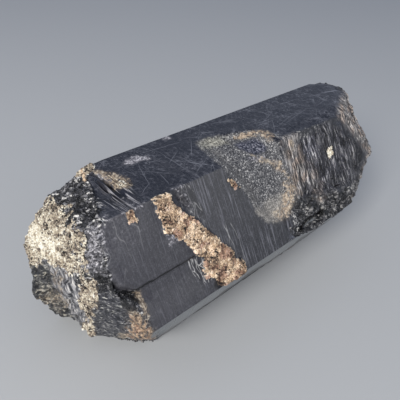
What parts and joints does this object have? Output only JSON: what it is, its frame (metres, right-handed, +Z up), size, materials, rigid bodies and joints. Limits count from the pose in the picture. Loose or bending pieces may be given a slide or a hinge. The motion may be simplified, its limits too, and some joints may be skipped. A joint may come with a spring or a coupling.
{
  "type": "morion quartz crystal",
  "caption": "Nearly black six-sided quartz prism lying on a side face, broken rough at both ends, with a pale feldspar crust on the front and the near end.",
  "frame": {"origin": "centre of the crystal's footprint, on the plane of the side face that it rests on", "axes": "+X along the crystal from the crusted near end to the far end, -Y towards the side that the picture shows, +Z up"},
  "size_m": [0.1706, 0.077, 0.074],
  "materials": {
    "morion_quartz": "vitreous on the prism faces, rough and matt on the breaks and the crust"
  },
  "bodies": {
    "root": {"morion_crystal": "morion_quartz"}
  },
  "joints": []
}
